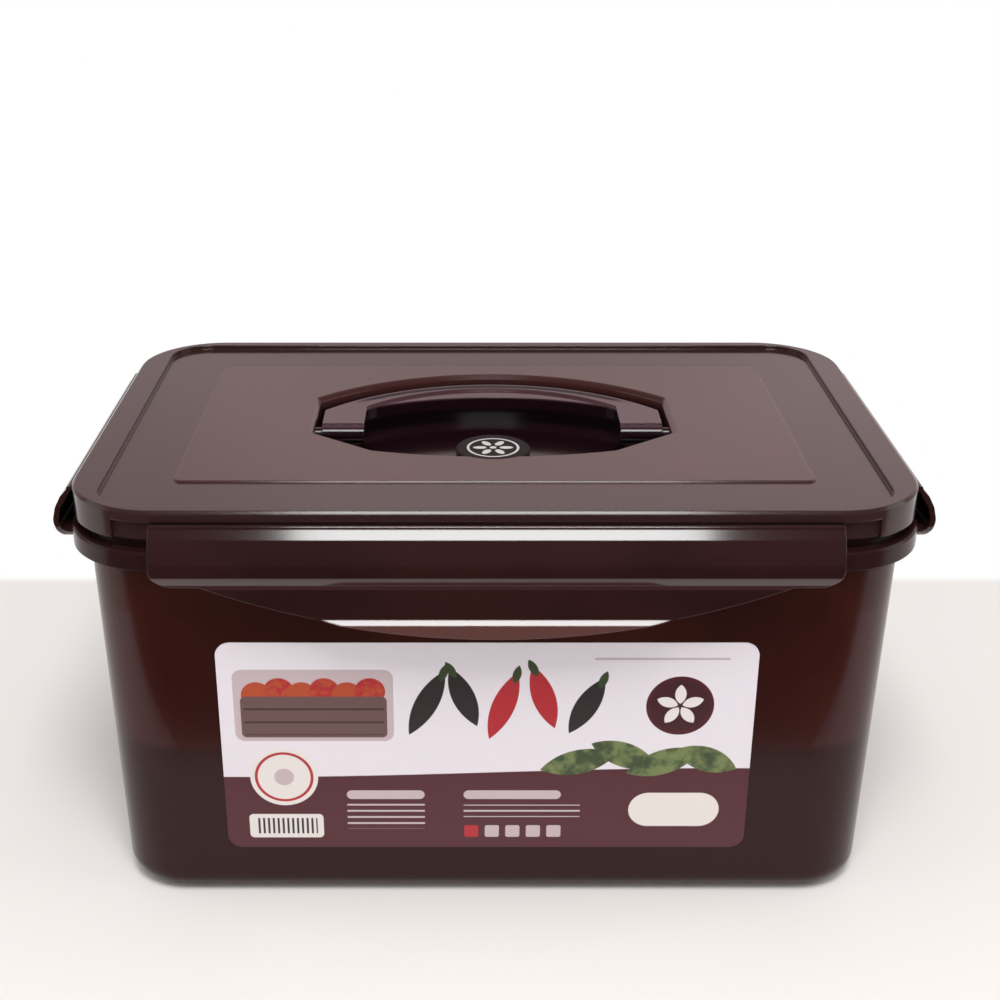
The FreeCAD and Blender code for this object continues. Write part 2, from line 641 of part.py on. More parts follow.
def make_press_handle():
    """Folding grip of the press plate, lying flat towards the back."""
    z = grip_axis_z()
    half, inside = GRIP_WIDTH / 2, GRIP_WIDTH / 2 - GRIP_BAR
    outer_y = GRIP_Y + GRIP_REACH
    inner_y = outer_y - GRIP_BAR - GRIP_PALM
    inner_bend = GRIP_BEND - GRIP_BAR / 2
    plan = [(half, GRIP_Y, 0), (half, outer_y, GRIP_BEND), (-half, outer_y, GRIP_BEND), (-half, GRIP_Y, 0),
            (-inside, GRIP_Y, 0), (-inside, inner_y, inner_bend),
            (inside, inner_y, inner_bend), (inside, GRIP_Y, 0)]
    low = z - GRIP_BAR / 2
    bail = face(rounded_path(plan, lambda u, v: Vector(u, v, low))).extrude(Vector(0, 0, GRIP_BAR))
    pieces = []
    for hand in (-1, 1):
        root, eye_end = Vector(hand * inside, GRIP_Y, z), Vector(hand * half, GRIP_Y, z)
        pin_end = Vector(hand * (half + LUG_GAP + GRIP_PIN_LENGTH), GRIP_Y, z)
        pieces += [cylinder(GRIP_BAR / 2, root, eye_end), cylinder(GRIP_PIN, root, pin_end)]
    return bail.fuse(pieces).removeSplitter()


def make_air_valve():
    """Pull-up plug of the press plate's vent."""
    seat = PRESS_Z + PRESS_PLATE + VENT_COLLAR
    cap_top = seat + VENT_CAP_HEIGHT
    base = Vector(VENT_X, VENT_Y, 0)
    stem = cylinder(VENT_BORE / 2 - VENT_FIT, base + Z_AXIS * (PRESS_Z - VENT_TIP), base + Z_AXIS * cap_top)
    cap = cylinder(VENT_CAP / 2, base + Z_AXIS * seat, base + Z_AXIS * cap_top)
    cap = cap.makeChamfer(VENT_BEVEL, edges_where(cap, lambda p: p.z > cap_top - 1e-3))
    tab = box(VENT_X - VENT_TAB / 2, VENT_X + VENT_TAB / 2, VENT_Y - VENT_TAB_LENGTH / 2,
              VENT_Y + VENT_TAB_LENGTH / 2, seat, cap_top + VENT_TAB_HEIGHT)
    return stem.fuse([cap, tab]).removeSplitter()


def main():
    """Build every piece and write one file for each."""
    shapes = {
        "tub": make_tub(),
        "front_label": make_label(),
        "lid": make_lid(),
        "lid_gasket": make_gasket(),
        "carry_handle": make_handle(),
        "press_plate": make_press_plate(),
        "press_seal": make_press_seal(),
        "press_handle": make_press_handle(),
        "air_valve": make_air_valve(),
    }
    for side, half_length in flap_lengths().items():
        shapes[side + "_latch"] = make_flap(side, half_length)
    for name, shape in shapes.items():
        print(name, "solids", len(shape.Solids), "valid", shape.isValid(), "volume", round(shape.Volume, 1))
        shape.exportStep("parts/" + name + ".step")


main()
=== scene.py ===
"""Looks of the pressing kimchi container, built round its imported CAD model.

Metres, +Z up, the front is -Y and the tub stands on z = 0. Every CAD node keeps its own mesh.
The finishes, the label's print, the badge, the stage, the lights and the camera come from here.
"""
from __future__ import annotations

import json
import logging
import math
from dataclasses import dataclass, field
from enum import Enum
from typing import Any, Dict, List, Sequence, Tuple, Union

import bpy
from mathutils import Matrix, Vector

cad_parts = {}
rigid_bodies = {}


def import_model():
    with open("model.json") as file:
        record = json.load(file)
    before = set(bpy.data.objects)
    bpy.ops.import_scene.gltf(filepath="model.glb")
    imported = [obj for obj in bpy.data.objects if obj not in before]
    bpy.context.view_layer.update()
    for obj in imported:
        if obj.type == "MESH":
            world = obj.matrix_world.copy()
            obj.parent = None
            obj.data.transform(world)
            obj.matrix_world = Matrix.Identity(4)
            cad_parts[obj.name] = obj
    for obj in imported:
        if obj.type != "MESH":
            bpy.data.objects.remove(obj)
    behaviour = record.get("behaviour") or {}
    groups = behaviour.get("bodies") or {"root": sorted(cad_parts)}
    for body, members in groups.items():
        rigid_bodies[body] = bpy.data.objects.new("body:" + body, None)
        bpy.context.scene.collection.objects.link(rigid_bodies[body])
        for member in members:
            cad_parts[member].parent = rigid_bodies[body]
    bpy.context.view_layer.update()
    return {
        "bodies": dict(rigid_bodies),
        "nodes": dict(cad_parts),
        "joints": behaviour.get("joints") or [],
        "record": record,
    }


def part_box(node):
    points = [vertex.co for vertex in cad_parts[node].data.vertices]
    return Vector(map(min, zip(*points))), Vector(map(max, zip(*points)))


log = logging.getLogger("keeper")
MM = 0.001
Colour = Tuple[float, float, float]
Pair = Tuple[float, float]
Place = Tuple[float, float, float]
Number = Union[float, "Value"]
Layer = Tuple["Value", Any]
Mottle = Tuple[float, float, float]  # scale, detail and roughness of a noise
WHITE: Colour = (1.0, 1.0, 1.0)


class Maths(Enum):
    """Operations of the Math node."""

    ADD = "ADD"
    SUBTRACT = "SUBTRACT"
    MULTIPLY = "MULTIPLY"
    DIVIDE = "DIVIDE"
    SIZE = "ABSOLUTE"
    MOST = "MAXIMUM"
    ROOT = "SQRT"
    SINE = "SINE"
    ANGLE = "ARCTAN2"
    WRAP = "WRAP"


def linear(red: int, green: int, blue: int) -> Colour:
    """Linear colour of a screen colour given in 0 to 255.

    Args:
        red: Red as a screen shows it.
        green: Green as a screen shows it.
        blue: Blue as a screen shows it.

    Returns:
        The same colour in scene-linear numbers.
    """
    def channel(value: int) -> float:
        """One channel by the screen's own curve."""
        share = value / 255
        return share / 12.92 if share <= 0.04045 else ((share + 0.055) / 1.055) ** 2.4

    return channel(red), channel(green), channel(blue)


def opaque(colour: Colour) -> Tuple[float, float, float, float]:
    """Colour with a whole alpha, as sockets want it."""
    return (*colour, 1.0)


def stepped(u: float, v: float, distance: float, turn: float) -> Pair:
    """Point at a distance from a point.

    Args:
        u: First coordinate of the point.
        v: Second coordinate of the point.
        distance: How far the new point lies.
        turn: Its direction in degrees.

    Returns:
        Both coordinates of the new point.
    """
    angle = math.radians(turn)
    return u + math.cos(angle) * distance, v + math.sin(angle) * distance


class Value:
    """A number socket that Python's operators extend with Math nodes."""

    def __init__(self, graph: "Graph", socket: Any) -> None:
        """Wrap a socket of a graph."""
        self.graph = graph
        self.socket = socket

    def _with(self, operation: Maths, *operands: Number) -> "Value":
        """Math node of an operation on the operands, in their order."""
        settings = {"operation": operation.value}
        return self.graph.value("ShaderNodeMath", settings, dict(enumerate(operands)))

    def __add__(self, other: Number) -> "Value":
        """Sum."""
        return self._with(Maths.ADD, self, other)

    __radd__ = __add__

    def __sub__(self, other: Number) -> "Value":
        """Difference."""
        return self._with(Maths.SUBTRACT, self, other)

    def __rsub__(self, other: Number) -> "Value":
        """Difference from a plain number."""
        return self._with(Maths.SUBTRACT, other, self)

    def __mul__(self, other: Number) -> "Value":
        """Product."""
        return self._with(Maths.MULTIPLY, self, other)

    __rmul__ = __mul__

    def __truediv__(self, other: Number) -> "Value":
        """Quotient."""
        return self._with(Maths.DIVIDE, self, other)

    def __rtruediv__(self, other: Number) -> "Value":
        """Quotient of a plain number."""
        return self._with(Maths.DIVIDE, other, self)

    def __abs__(self) -> "Value":
        """Size without sign."""
        return self._with(Maths.SIZE, self)

    def most(self, other: Number) -> "Value":
        """Larger of the two."""
        return self._with(Maths.MOST, self, other)

    def root(self) -> "Value":
        """Square root."""
        return self._with(Maths.ROOT, self)

    def sine(self) -> "Value":
        """Sine of an angle in radians."""
        return self._with(Maths.SINE, self)

    def angle_from(self, other: "Value") -> "Value":
        """Angle of the point (other, self) about the origin."""
        return self._with(Maths.ANGLE, self, other)

    def wrapped(self, period: float) -> "Value":
        """Value folded into -period/2 to period/2."""
        return self._with(Maths.WRAP, self, period / 2, -period / 2)

    def ramp(self, start: float, end: float) -> "Value":
        """Smooth step from 0 at start to 1 at end.

        Args:
            start: Value at which the step begins.
            end: Value at which the step is whole; it may lie below start.

        Returns:
            The step, between 0 and 1.
        """
        low, high = min(start, end), max(start, end)
        step = self.graph.value("ShaderNodeMapRange", {"interpolation_type": "SMOOTHSTEP"},
                                {"Value": self, "From Min": low, "From Max": high})
        return step if start <= end else 1 - step

    def above(self, level: float, soft: float) -> "Value":
        """Mask of what lies above a level, with a soft edge to both sides of it."""
        return self.ramp(level - soft, level + soft)

    def below(self, level: float, soft: float) -> "Value":
        """Mask of what lies below a level, with a soft edge to both sides of it."""
        return self.ramp(level + soft, level - soft)


class Graph:
    """A node tree with one method that adds any node."""

    def __init__(self, tree: bpy.types.NodeTree) -> None:
        """Start from an empty tree."""
        self.tree = tree
        tree.nodes.clear()

    def node(self, kind: str, settings: Dict[str, Any], sockets: Dict[Any, Any]) -> bpy.types.Node:
        """Add a node, set its settings, then fill its sockets.

        Args:
            kind: Type name of the node.
            settings: Properties of the node, set before its sockets.
            sockets: Value, Value wrapper or output socket for each input, by name or place.

        Returns:
            The new node.
        """
        made = self.tree.nodes.new(kind)
        for name, setting in settings.items():
            setattr(made, name, setting)
        for key, given in sockets.items():
            target = made.inputs[key]
            if isinstance(given, Value):
                self.tree.links.new(given.socket, target)
            elif isinstance(given, bpy.types.NodeSocket):
                self.tree.links.new(given, target)
            else:
                target.default_value = given
        return made

    def value(self, kind: str, settings: Dict[str, Any], sockets: Dict[Any, Any],
              output: Any = 0) -> Value:
        """Add a node and wrap one of its number outputs."""
        return Value(self, self.node(kind, settings, sockets).outputs[output])

    def parts(self, vector: bpy.types.NodeSocket) -> Tuple[Value, Value, Value]:
        """The three numbers of a vector.

        Args:
            vector: Socket of the vector.

        Returns:
            Its x, y and z.
        """
        split = self.node("ShaderNodeSeparateXYZ", {}, {"Vector": vector})
        x, y, z = (Value(self, output) for output in split.outputs)
        return x, y, z

    def where(self, system: str = "Object") -> bpy.types.NodeSocket:
        """Vector of a place on the object in metres, or of another coordinate system."""
        return self.node("ShaderNodeTexCoord", {}, {}).outputs[system]

    def place(self) -> Tuple[Value, Value, Value]:
        """Place on the object in metres, as three numbers."""
        return self.parts(self.where())

    def rays(self) -> Tuple[Value, Value]:
        """Whether a ray comes from the camera, and whether it is a reflection."""
        told = self.node("ShaderNodeLightPath", {}, {}).outputs
        return Value(self, told["Is Camera Ray"]), Value(self, told["Is Glossy Ray"])

    def noise(self, scale: float, detail: float, rough: float = 0.5) -> Value:
        """Noise between 0 and 1 over the object's own metres."""
        sockets = {"Vector": self.where(), "Scale": scale, "Detail": detail, "Roughness": rough}
        return self.value("ShaderNodeTexNoise", {}, sockets, "Fac")

    def blend(self, factor: Number, first: Any, second: Any) -> bpy.types.NodeSocket:
        """Colour between two colours.

        Args:
            factor: 0 for the first, 1 for the second.
            first: Colour or socket.
            second: Colour or socket.

        Returns:
            The colour's socket.
        """
        low, high = (opaque(c) if isinstance(c, tuple) else c for c in (first, second))
        mix = self.node("ShaderNodeMix", {"data_type": "RGBA"}, {0: factor, 6: low, 7: high})
        return mix.outputs[2]

    def finish(self, kind: str, shader: bpy.types.Node) -> None:
        """Lead a shader to an output node."""
        self.node(kind, {}, {"Surface": shader.outputs[0]})


@dataclass(frozen=True, kw_only=True)
class Plastic:
    """Glossy moulded plastic with a faint flow pattern and soft edges."""

    name: str
    colour: Colour
    shade: Colour
    roughness: float = 0.22
    specular: float = 0.5
    edge: float = 0.5 * MM
    edge_samples: int = 4
    flow_scale: float = 22.0
    flow_detail: float = 3.0
    flow_step: Pair = (0.3, 0.7)
    flow_gloss: float = 0.04
    grain: float = 0.02
    grain_scale: float = 900.0
    grain_detail: float = 2.0
    grain_depth: float = 0.4 * MM

    def surface(self, graph: Graph) -> Dict[str, Any]:
        """Sockets of the shader, before anything is printed on it.

        Args:
            graph: Graph of the material.

        Returns:
            Values and links by socket name.
        """
        flow = graph.noise(self.flow_scale, self.flow_detail)
        edge = graph.node("ShaderNodeBevel", {"samples": self.edge_samples}, {"Radius": self.edge})
        bump = graph.node("ShaderNodeBump", {}, {
            "Strength": self.grain, "Distance": self.grain_depth,
            "Height": graph.noise(self.grain_scale, self.grain_detail), "Normal": edge.outputs[0]})
        return {
            "Base Color": graph.blend(flow.ramp(*self.flow_step), self.colour, self.shade),
            "Roughness": self.roughness + (flow - 0.5) * self.flow_gloss,
            "Specular IOR Level": self.specular,
            "Normal": bump.outputs[0],
        }

    def material(self) -> bpy.types.Material:
        """The finish as a Blender material.

        Returns:
            The new material.
        """
        made = bpy.data.materials.new(self.name)
        made.use_nodes = True
        graph = Graph(made.node_tree)
        shader = graph.node("ShaderNodeBsdfPrincipled", {}, self.surface(graph))
        graph.finish("ShaderNodeOutputMaterial", shader)
        return made


@dataclass(frozen=True, kw_only=True)
class TubPlastic(Plastic):
    """Tub plastic with painted see-through shade: a warm field in the long walls, cooler and paler
    at its ends where the inner corners shine through, darker below it and towards the bottom, and
    painted shade on the flange under the lid.
    """

    # The next three colours are painted light: shade on the flange under the lid, shade low down
    # where the tub's floor shows through and towards the bottom, and the paler see-through tone at
    # the ends.
    flange_painted_shade: Colour = linear(40, 20, 21)
    low_painted_shade: Colour = linear(43, 18, 19)
    end: Colour = linear(58, 30, 30)
    rim_step: Pair = (112 * MM, 117 * MM)
    foot_step: Pair = (46 * MM, 4 * MM)
    long_wall_step: Pair = (44 * MM, 70 * MM)
    field_half: float = 106.7 * MM
    field_low: float = 54.6 * MM
    field_high: float = 99.8 * MM
    field_soft: float = 1 * MM
    field_low_soft: float = 2 * MM
    bow_above: float = 5 * MM
    bow: float = 240 * MM

    def surface(self, graph: Graph) -> Dict[str, Any]:
        """Plastic with painted see-through shade: fields of tone whose edges show where the inner
        corners and the floor shine through, with painted shade on the flange and towards the
        bottom.

        Args:
            graph: Graph of the material.

        Returns:
            Values and links by socket name.
        """
        sockets = super().surface(graph)
        x, y, z = graph.place()
        on_long_wall = abs(y).ramp(*self.long_wall_step)
        drop = (self.field_high + self.bow_above - z).most(0.0)
        reach = abs(x) + drop * drop / self.bow
        # painted see-through: where the inner corners shine through near the ends of the long walls
        painted_see_through_ends = reach.above(self.field_half, self.field_soft) \
            * z.below(self.field_high, self.field_soft) * on_long_wall
        # painted see-through: below the field the tub's floor shows through
        painted_see_through_floor = z.below(self.field_low, self.field_low_soft) * on_long_wall
        colour = graph.blend(painted_see_through_ends, sockets["Base Color"], self.end)
        # painted shade on the flange under the lid's skirt
        colour = graph.blend(z.ramp(*self.rim_step), colour, self.flange_painted_shade)
        # painted shade below the field and towards the bottom
        low = painted_see_through_floor.most(z.ramp(*self.foot_step))
        sockets["Base Color"] = graph.blend(low, colour, self.low_painted_shade)
        return sockets


@dataclass(frozen=True, kw_only=True)
class LatchPlastic(Plastic):
    """Latch plastic, paler in the thin flared lip that light comes through, with a painted sheen on
    its lower roll.
    """

    lip: Colour = linear(86, 56, 52)
    # painted sheen: the roll's paler colour stands for the table mirrored in it
    roll_painted_sheen: Colour = linear(58, 34, 34)
    lip_step: Pair = (104.6 * MM, 102.4 * MM)
    curl_low_step: Pair = (112.9 * MM, 113.5 * MM)
    curl_high_step: Pair = (117.6 * MM, 116.6 * MM)

    def surface(self, graph: Graph) -> Dict[str, Any]:
        """Plastic with a pale lip and a painted sheen on the lower roll, where the table is
        mirrored.

        Args:
            graph: Graph of the material.

        Returns:
            Values and links by socket name.
        """
        sockets = super().surface(graph)
        _, _, z = graph.place()
        # mask of the painted sheen on the lower roll
        on_painted_sheen = z.ramp(*self.curl_low_step) * z.ramp(*self.curl_high_step)
        colour = graph.blend(on_painted_sheen, sockets["Base Color"], self.roll_painted_sheen)
        sockets["Base Color"] = graph.blend(z.ramp(*self.lip_step), colour, self.lip)
        return sockets


@dataclass(frozen=True, kw_only=True)
class HandlePlastic(Plastic):
    """Handle plastic: painted shade on its flanks inside the recess, and a dull line along the
    raised band that is rougher and painted dark as a groove's shade.
    """

    # painted shade: colour for the flanks in the recess and for the dull line
    painted_shade: Colour = linear(25, 11, 16)
    arc_centre: float = -36.7 * MM
    line_inner: float = 67.6 * MM
    line_outer: float = 70.2 * MM
    line_soft: float = 0.3 * MM
    line_height_step: Pair = (133.62 * MM, 133.74 * MM)
    line_back_step: Pair = (13 * MM, 20 * MM)
    line_dull: float = 0.5
    flank_step: Pair = (132.9 * MM, 132.2 * MM)

    def surface(self, graph: Graph) -> Dict[str, Any]:
        """Plastic with painted shade on its flanks and along the rougher dull line.

        Args:
            graph: Graph of the material.

        Returns:
            Values and links by socket name.
        """
        sockets = super().surface(graph)
        x, y, z = graph.place()
        dy = y - self.arc_centre
        radius = (x * x + dy * dy).root()
        line = radius.above(self.line_inner, self.line_soft) \
            * radius.below(self.line_outer, self.line_soft) \
            * z.ramp(*self.line_height_step) * y.ramp(*self.line_back_step)
        # painted shade on the flanks below the top and along the line, which is also rougher
        dark = line.most(z.ramp(*self.flank_step))
        sockets["Base Color"] = graph.blend(dark, sockets["Base Color"], self.painted_shade)
        sockets["Roughness"] = sockets["Roughness"] + line * self.line_dull
        return sockets


@dataclass(frozen=True, kw_only=True)
class Silicone(Plastic):
    """Pale rubber: matt and a little blotchy."""

    roughness: float = 0.7
    specular: float = 0.3
    flow_scale: float = 60.0


@dataclass(frozen=True, kw_only=True)
class LidPlastic(Plastic):
    """Lid plastic: a paler platform, painted shade in the recess, darker further down, and a
    generic flower on its boss.
    """

    border: Colour = linear(50, 31, 31)
    panel: Colour = linear(52, 33, 29)
    # The next two colours are painted shade in the recess: lighter on its upper walls, darker
    # further down.
    recess_wall_painted_shade: Colour = linear(60, 32, 31)
    recess_floor_painted_shade: Colour = linear(24, 9, 14)
    ink: Colour = linear(214, 206, 206)
    soft: float = 2.5 * MM
    panel_half: Pair = (115.8 * MM, 76.0 * MM)
    platform_half: Pair = (95.5 * MM, 55.4 * MM)
    recess_half: float = 59.0 * MM
    recess_front: float = -35.8 * MM
    recess_back: float = 45.2 * MM
    recess_soft: float = 1 * MM
    flank_step: Pair = (133.9 * MM, 133.3 * MM)
    depth_step: Pair = (132.4 * MM, 129.4 * MM)
    depth_round: Pair = (13.0 * MM, 12.4 * MM)
    boss_step: Pair = (131.6 * MM, 131.8 * MM)
    boss_round: Pair = (11.9 * MM, 11.7 * MM)
    boss_dull: float = 0.7
    badge_y: float = -22.6 * MM
    badge_strength: float = 0.82
    petals: int = 6
    petal_at: float = 4.2 * MM
    petal_long: float = 2.1
    petal_wide: float = 1.15
    petal_step: Pair = (1.12 * MM, 0.88 * MM)
    ring_at: float = 7.9 * MM
    ring_step: Pair = (0.5 * MM, 0.25 * MM)
    dot_step: Pair = (1.2 * MM, 0.9 * MM)

    def surface(self, graph: Graph) -> Dict[str, Any]:
        """Plastic with its fields of tone, painted shade in the recess and the badge.

        Args:
            graph: Graph of the material.

        Returns:
            Values and links by socket name.
        """
        sockets = super().surface(graph)
        x, y, z = graph.place()
        across, along = abs(x), abs(y)
        in_panel = across.ramp(self.panel_half[0], self.panel_half[0] - self.soft) \
            * along.ramp(self.panel_half[1], self.panel_half[1] - self.soft)
        on_platform = across.below(self.platform_half[0], self.soft) \
            * along.below(self.platform_half[1], self.soft / 2)
        in_recess = across.ramp(self.recess_half + self.recess_soft, self.recess_half) \
            * y.ramp(self.recess_front - self.recess_soft, self.recess_front) \
            * y.ramp(self.recess_back + self.recess_soft, self.recess_back) \
            * z.ramp(*self.flank_step)
        dy = y - self.badge_y
        radius = (x * x + dy * dy).root()
        # mask of the painted shade further down in the recess, kept off the boss
        painted_shade = z.ramp(*self.depth_step).most(radius.ramp(*self.depth_round))
        on_boss = z.ramp(*self.boss_step) * radius.ramp(*self.boss_round)
        colour = graph.blend(in_panel, self.border, self.panel)
        # the recess's walls and floor take painted shade
        for mask, tone in [(on_platform, sockets["Base Color"]), (in_recess, self.recess_wall_painted_shade),
                           (in_recess * painted_shade, self.recess_floor_painted_shade),
                           (self._badge(x, dy, radius) * on_boss, self.ink)]:
            colour = graph.blend(mask, colour, tone)
        sockets["Base Color"] = colour
        sockets["Roughness"] = sockets["Roughness"] + on_boss * self.boss_dull
        return sockets

    def _badge(self, x: Value, dy: Value, radius: Value) -> Value:
        """Mask of the badge's ring, petals and dot.

        Args:
            x: Place along x from the badge's centre.
            dy: Place along y from the badge's centre.
            radius: Distance from the badge's centre.

        Returns:
            The mask, as strong as the worn print.
        """
        petal_x = radius - self.petal_at
        petal_y = radius * dy.angle_from(x).wrapped(2 * math.pi / self.petals)
        petal = ((petal_x * petal_x) / self.petal_long ** 2
                 + (petal_y * petal_y) / self.petal_wide ** 2).root()
        ring = abs(radius - self.ring_at).ramp(*self.ring_step)
        dot = radius.ramp(*self.dot_step)
        return petal.ramp(*self.petal_step).most(ring).most(dot) * self.badge_strength


@dataclass(frozen=True)
class Print:
    """Masks of the label's print.

    u and v are the place on the film from its centre in metres. Shapes are in millimetres.
    """

    u: Value
    v: Value
    blur: float = 0.12 * MM

    def disc(self, u: float, v: float, radius: float) -> Value:
        """Mask of a disc."""
        du, dv = self.u - u * MM, self.v - v * MM
        return (du * du + dv * dv).root().below(radius * MM, self.blur)

    def plate(self, u: float, v: float, half_u: float, half_v: float, corner: float) -> Value:
        """Mask of a rounded rectangle.

        Args:
            u: Centre along x.
            v: Centre along z.
            half_u: Half its width.
            half_v: Half its height.
            corner: Radius of its corners.

        Returns:
            The mask, between 0 and 1.
        """
        over_u = (abs(self.u - u * MM) - (half_u - corner) * MM).most(0.0)
        over_v = (abs(self.v - v * MM) - (half_v - corner) * MM).most(0.0)
        return (over_u * over_u + over_v * over_v).root().below(corner * MM, self.blur)

    def leaf(self, u: float, v: float, length: float, width: float, turn: float) -> Value:
        """Mask of a pointed leaf.

        Args:
            u: Centre along x.
            v: Centre along z.
            length: Length from tip to tip.
            width: Widest place.
            turn: Direction of its long axis in degrees.

        Returns:
            The mask, between 0 and 1.
        """
        cosine, sine = math.cos(math.radians(turn)), math.sin(math.radians(turn))
        du, dv = self.u - u * MM, self.v - v * MM
        along = du * cosine + dv * sine
        across = dv * cosine - du * sine
        half, bow = length / 2 * MM, width / 2 * MM
        radius = (half * half + bow * bow) / (2 * bow)
        reach = abs(across) + (radius - bow)
        return (along * along + reach * reach).root().below(radius, self.blur)

    def bars(self, along: Value, pitch: float, share: float) -> Value:
        """Mask of bars set a pitch apart along u or v, each a share of the pitch thick."""
        return abs(along.wrapped(pitch * MM)).below(pitch * share / 2 * MM, self.blur / 2)


@dataclass(frozen=True, kw_only=True)
class LabelFilm(Plastic):
    """Printed film: pale above, maroon below, with pods, leaves, a crate of fruit and bars.

    The print's places and sizes are in millimetres from the label's centre.
    """

    centre: Pair
    colour: Colour = linear(222, 215, 221)
    shade: Colour = linear(222, 215, 221)
    maroon: Colour = linear(78, 28, 37)
    maroon_deep: Colour = linear(66, 28, 36)
    red: Colour = linear(172, 36, 44)
    ink: Colour = linear(48, 40, 42)
    green: Colour = linear(112, 124, 74)
    green_deep: Colour = linear(58, 72, 44)
    food: Colour = linear(176, 72, 40)
    dish: Colour = linear(222, 214, 210)
    pale: Colour = linear(190, 172, 176)
    crate: Colour = linear(104, 78, 76)
    crate_gap: Colour = linear(70, 48, 48)
    field_edge_step: Pair = (-8.7, -9.0)
    field_bow: float = 1.6
    field_waves: float = 22.0
    thin_rows: Pair = (2.3, 0.3)  # pitch, and the share of it that is inked
    top_rows: Pair = (2.6, 0.3)
    crate_rows: Pair = (4.6, 0.14)
    upright_bars: Pair = (1.5, 0.45)
    leaf_mottle: Mottle = (260.0, 3.0, 0.5)
    leaf_mottle_step: Pair = (0.35, 0.65)
    ripe_mottle: Mottle = (420.0, 4.0, 0.7)
    ripe_mottle_step: Pair = (0.42, 0.58)
    leaf_width: float = 8.6
    pod_width: float = 7.0
    cap_size: Pair = (6.5, 2.6)
    cap_at: float = 0.46
    cap_turn: float = 8.0
    seal_at: Pair = (58, 15)
    seal_petals: int = 5
    petal_at: float = 4.0
    petal_size: Pair = (6.6, 3.4)
    plate_at: Pair = (-62, -10.5)
    fruits: int = 6
    fruit_radius: float = 4.6
    fruit_pitch: float = 6.8
    squares: int = 5
    square_pitch: float = 6.4

    def surface(self, graph: Graph) -> Dict[str, Any]:
        """Film with its whole print.

        Args:
            graph: Graph of the material.

        Returns:
            Values and links by socket name.
        """
        sockets = super().surface(graph)
        x, _, z = graph.place()
        sheet = Print(x - self.centre[0], z - self.centre[1])
        colour = sockets["Base Color"]
        for mask, ink in self._lower(graph, sheet) + self._upper(sheet) + self._crate(graph, sheet):
            colour = graph.blend(mask, colour, ink)
        sockets["Base Color"] = colour
        return sockets

    def _lower(self, graph: Graph, sheet: Print) -> List[Layer]:
        """Maroon field with a bowed edge, leaves across it, a pill and plain bars and squares.

        Args:
            graph: Graph of the material.
            sheet: Masks of the print.

        Returns:
            Masks with their colours, the lowest first.
        """
        edge = (sheet.u * self.field_waves).sine() * (self.field_bow * MM)
        start, end = self.field_edge_step
        mottled = graph.noise(*self.leaf_mottle).ramp(*self.leaf_mottle_step)
        leaf_green = graph.blend(mottled, self.green, self.green_deep)
        layers: List[Layer] = [((sheet.v - edge).ramp(start * MM, end * MM), self.maroon)]
        for u, v, length, turn in [(28, -5, 24, 14), (42, -2.5, 22, 158), (54, -5, 24, 20),
                                   (67, -4, 20, 160)]:
            layers.append((sheet.leaf(u, v, length, self.leaf_width, turn), leaf_green))
        thin_rows = sheet.bars(sheet.v, *self.thin_rows)
        layers += [(sheet.plate(58, -22.5, 14, 6.2, 6.2), self.dish),
                   (sheet.plate(-31, -17.0, 12, 1.6, 1.6), self.pale),
                   (sheet.plate(8, -17.0, 15, 1.6, 1.6), self.pale),
                   (thin_rows * sheet.plate(-31, -25.0, 12, 4.6, 0.3), self.pale),
                   (thin_rows * sheet.plate(11, -23.0, 18, 2.3, 0.3), self.pale)]
        for i in range(self.squares):
            square = sheet.plate(-4.6 + self.square_pitch * i, -30.6, 2.2, 2.2, 0.7)
            layers.append((square, self.red if i == 0 else self.pale))
        upright = sheet.bars(sheet.u, *self.upright_bars)
        layers += [(sheet.plate(-62, -28.6, 11.5, 4.4, 1.4), self.dish),
                   (upright * sheet.plate(-62, -28.6, 9.6, 2.9, 0.2), self.ink)]
        return layers

    def _upper(self, sheet: Print) -> List[Layer]:
        """Motifs on the pale field: pods with green caps, thin bars and a flower seal.

        Args:
            sheet: Masks of the print.

        Returns:
            Masks with their colours, the lowest first.
        """
        layers: List[Layer] = []
        for u, v, length, turn, ink in [(-18, 16, 25, 64, self.ink), (-7, 18, 22, 112, self.ink),
                                        (5, 15, 25, 70, self.red), (17, 18, 23, 108, self.red),
                                        (30, 15, 22, 62, self.ink)]:
            layers.append((sheet.leaf(u, v, length, self.pod_width, turn), ink))
            tip = stepped(u, v, length * self.cap_at, turn)
            layers.append((sheet.leaf(*tip, *self.cap_size, turn + self.cap_turn), self.green_deep))
        rows = sheet.bars(sheet.v, *self.top_rows)
        layers += [(rows * sheet.plate(52, 31.2, 20, 2.0, 0.4), self.pale),
                   (sheet.disc(*self.seal_at, 10.2), self.maroon),
                   (sheet.disc(*self.seal_at, 8.8), self.maroon_deep)]
        for i in range(self.seal_petals):
            turn = 18 + 360 / self.seal_petals * i
            middle = stepped(*self.seal_at, self.petal_at, turn)
            layers.append((sheet.leaf(*middle, *self.petal_size, turn), self.dish))
        return layers

